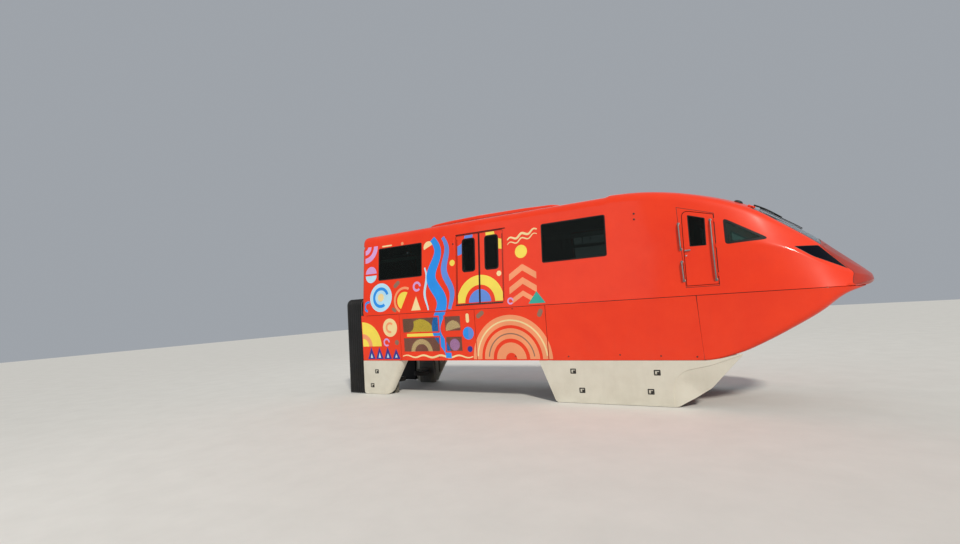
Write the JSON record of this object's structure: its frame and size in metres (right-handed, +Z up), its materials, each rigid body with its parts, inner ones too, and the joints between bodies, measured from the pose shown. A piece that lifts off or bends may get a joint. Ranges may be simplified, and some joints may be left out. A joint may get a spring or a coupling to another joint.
{
  "type": "straddle-beam monorail car",
  "caption": "Leading car of a straddle-beam monorail train: red shell with a pointed cab nose, sliding doors, grey skirts, bogies with load and side wheels.",
  "frame": {"origin": "on the ground plane under the soles of the bogie legs, at the middle of the car's box in X and Y", "axes": "+X forwards to the cab nose, +Y to the car's left, +Z up"},
  "size_m": [13.27, 2.66, 5.005],
  "materials": {
    "red_paint": "gloss orange-red paint with coloured plain motifs on the rear half",
    "end_paint": "satin dark red",
    "tinted_glass": "dark tinted glazing",
    "cab_glass": "lightly tinted cab glazing",
    "lamp_cover": "dark lamp cover",
    "skirt_paint": "satin warm grey",
    "frame_paint": "dark grey with brake dust",
    "bellows_rubber": "ribbed black rubberised cloth",
    "seat_fabric": "woven seat cloth",
    "lining": "pale moulded lining",
    "tyre_rubber": "dusty black rubber"
  },
  "bodies": {
    "car_body": {"upper_side_right": "red_paint", "upper_side_left": "red_paint", "lower_side_right": "red_paint", "lower_side_left": "red_paint", "roof_panel": "red_paint", "roof_pod": "red_paint", "nose_shell": "red_paint", "nose_lower": "red_paint", "end_wall": "end_paint", "window_rear_right": "tinted_glass", "window_front_right": "tinted_glass", "window_rear_left": "tinted_glass", "window_front_left": "tinted_glass", "windshield": "cab_glass", "quarter_window_right": "cab_glass", "quarter_window_left": "cab_glass", "headlight_right": "lamp_cover", "headlight_left": "lamp_cover", "skirt_rear_right": "skirt_paint", "skirt_rear_left": "skirt_paint", "skirt_front_right": "skirt_paint", "skirt_front_left": "skirt_paint", "floor_frame": "frame_paint", "equipment_box": "frame_paint", "drawbar": "frame_paint", "end_bellows": "bellows_rubber", "bench_rear_right": "seat_fabric", "bench_front_right": "seat_fabric", "bench_rear_left": "seat_fabric", "bench_front_left": "seat_fabric", "driver_seat": "seat_fabric", "cab_partition": "lining", "cab_desk": "lining"},
    "door_rear_right": {"door_leaf_rear_right": "red_paint"},
    "door_front_right": {"door_leaf_front_right": "red_paint"},
    "door_rear_left": {"door_leaf_rear_left": "red_paint"},
    "door_front_left": {"door_leaf_front_left": "red_paint"},
    "cab_leaf_right": {"cab_door_right": "red_paint"},
    "cab_leaf_left": {"cab_door_left": "red_paint"},
    "bogie_front": {"bogie_frame_front": "frame_paint"},
    "bogie_rear": {"bogie_frame_rear": "frame_paint"},
    "axle_front_1": {"load_axle_front_1": "tyre_rubber"},
    "axle_front_2": {"load_axle_front_2": "tyre_rubber"},
    "axle_rear": {"load_axle_rear": "tyre_rubber"},
    "guide_front_right_1": {"guide_wheel_front_right_1": "tyre_rubber"},
    "guide_front_right_2": {"guide_wheel_front_right_2": "tyre_rubber"},
    "guide_front_left_1": {"guide_wheel_front_left_1": "tyre_rubber"},
    "guide_front_left_2": {"guide_wheel_front_left_2": "tyre_rubber"},
    "guide_rear_right_1": {"guide_wheel_rear_right_1": "tyre_rubber"},
    "guide_rear_right_2": {"guide_wheel_rear_right_2": "tyre_rubber"},
    "guide_rear_left_1": {"guide_wheel_rear_left_1": "tyre_rubber"},
    "guide_rear_left_2": {"guide_wheel_rear_left_2": "tyre_rubber"},
    "steady_front_right": {"stabiliser_front_right": "tyre_rubber"},
    "steady_front_left": {"stabiliser_front_left": "tyre_rubber"},
    "steady_rear_right": {"stabiliser_rear_right": "tyre_rubber"},
    "steady_rear_left": {"stabiliser_rear_left": "tyre_rubber"}
  },
  "joints": [
    {"name": "door_rear_right_slide", "type": "slide", "parent": "car_body", "child": "door_rear_right", "axis": [-1, 0, 0], "range_m": [0, 0.68]},
    {"name": "door_front_right_slide", "type": "slide", "parent": "car_body", "child": "door_front_right", "axis": [1, 0, 0], "range_m": [0, 0.68]},
    {"name": "door_rear_left_slide", "type": "slide", "parent": "car_body", "child": "door_rear_left", "axis": [-1, 0, 0], "range_m": [0, 0.68]},
    {"name": "door_front_left_slide", "type": "slide", "parent": "car_body", "child": "door_front_left", "axis": [1, 0, 0], "range_m": [0, 0.68]},
    {"name": "cab_door_right_hinge", "type": "hinge", "parent": "car_body", "child": "cab_leaf_right", "pos_m": [3.951, -1.238, 3.394], "axis": [0, 0.1386, 0.9903], "range_deg": [0, 90]},
    {"name": "cab_door_left_hinge", "type": "hinge", "parent": "car_body", "child": "cab_leaf_left", "pos_m": [3.951, 1.238, 3.394], "axis": [0, 0.1386, -0.9903], "range_deg": [0, 90]},
    {"name": "bogie_front_yaw", "type": "hinge", "parent": "car_body", "child": "bogie_front", "pos_m": [1.835, 0, 2.2], "axis": [0, 0, 1], "range_deg": [-5, 5]},
    {"name": "bogie_rear_yaw", "type": "hinge", "parent": "car_body", "child": "bogie_rear", "pos_m": [-5.295, 0, 2.2], "axis": [0, 0, 1], "range_deg": [-5, 5]},
    {"name": "axle_front_1_spin", "type": "hinge", "parent": "bogie_front", "child": "axle_front_1", "pos_m": [1.115, 0, 1.9], "axis": [0, 1, 0], "continuous": true},
    {"name": "axle_front_2_spin", "type": "hinge", "parent": "bogie_front", "child": "axle_front_2", "pos_m": [2.555, 0, 1.9], "axis": [0, 1, 0], "continuous": true},
    {"name": "axle_rear_spin", "type": "hinge", "parent": "bogie_rear", "child": "axle_rear", "pos_m": [-5.295, 0, 1.9], "axis": [0, 1, 0], "continuous": true},
    {"name": "guide_front_right_1_spin", "type": "hinge", "parent": "bogie_front", "child": "guide_front_right_1", "pos_m": [0.745, -0.625, 1.2], "axis": [0, 0, 1], "continuous": true},
    {"name": "guide_front_right_2_spin", "type": "hinge", "parent": "bogie_front", "child": "guide_front_right_2", "pos_m": [2.925, -0.625, 1.2], "axis": [0, 0, 1], "continuous": true},
    {"name": "guide_front_left_1_spin", "type": "hinge", "parent": "bogie_front", "child": "guide_front_left_1", "pos_m": [0.745, 0.625, 1.2], "axis": [0, 0, 1], "continuous": true},
    {"name": "guide_front_left_2_spin", "type": "hinge", "parent": "bogie_front", "child": "guide_front_left_2", "pos_m": [2.925, 0.625, 1.2], "axis": [0, 0, 1], "continuous": true},
    {"name": "guide_rear_right_1_spin", "type": "hinge", "parent": "bogie_rear", "child": "guide_rear_right_1", "pos_m": [-5.695, -0.625, 1.2], "axis": [0, 0, 1], "continuous": true},
    {"name": "guide_rear_right_2_spin", "type": "hinge", "parent": "bogie_rear", "child": "guide_rear_right_2", "pos_m": [-4.895, -0.625, 1.2], "axis": [0, 0, 1], "continuous": true},
    {"name": "guide_rear_left_1_spin", "type": "hinge", "parent": "bogie_rear", "child": "guide_rear_left_1", "pos_m": [-5.695, 0.625, 1.2], "axis": [0, 0, 1], "continuous": true},
    {"name": "guide_rear_left_2_spin", "type": "hinge", "parent": "bogie_rear", "child": "guide_rear_left_2", "pos_m": [-4.895, 0.625, 1.2], "axis": [0, 0, 1], "continuous": true},
    {"name": "steady_front_right_spin", "type": "hinge", "parent": "bogie_front", "child": "steady_front_right", "pos_m": [1.835, -0.612, 0.35], "axis": [0, 0, 1], "continuous": true},
    {"name": "steady_front_left_spin", "type": "hinge", "parent": "bogie_front", "child": "steady_front_left", "pos_m": [1.835, 0.612, 0.35], "axis": [0, 0, 1], "continuous": true},
    {"name": "steady_rear_right_spin", "type": "hinge", "parent": "bogie_rear", "child": "steady_rear_right", "pos_m": [-5.295, -0.612, 0.35], "axis": [0, 0, 1], "continuous": true},
    {"name": "steady_rear_left_spin", "type": "hinge", "parent": "bogie_rear", "child": "steady_rear_left", "pos_m": [-5.295, 0.612, 0.35], "axis": [0, 0, 1], "continuous": true}
  ],
  "couplings": [
    {"joint": "door_front_right_slide", "follows": "door_rear_right_slide", "ratio": 1},
    {"joint": "door_front_left_slide", "follows": "door_rear_left_slide", "ratio": 1}
  ]
}
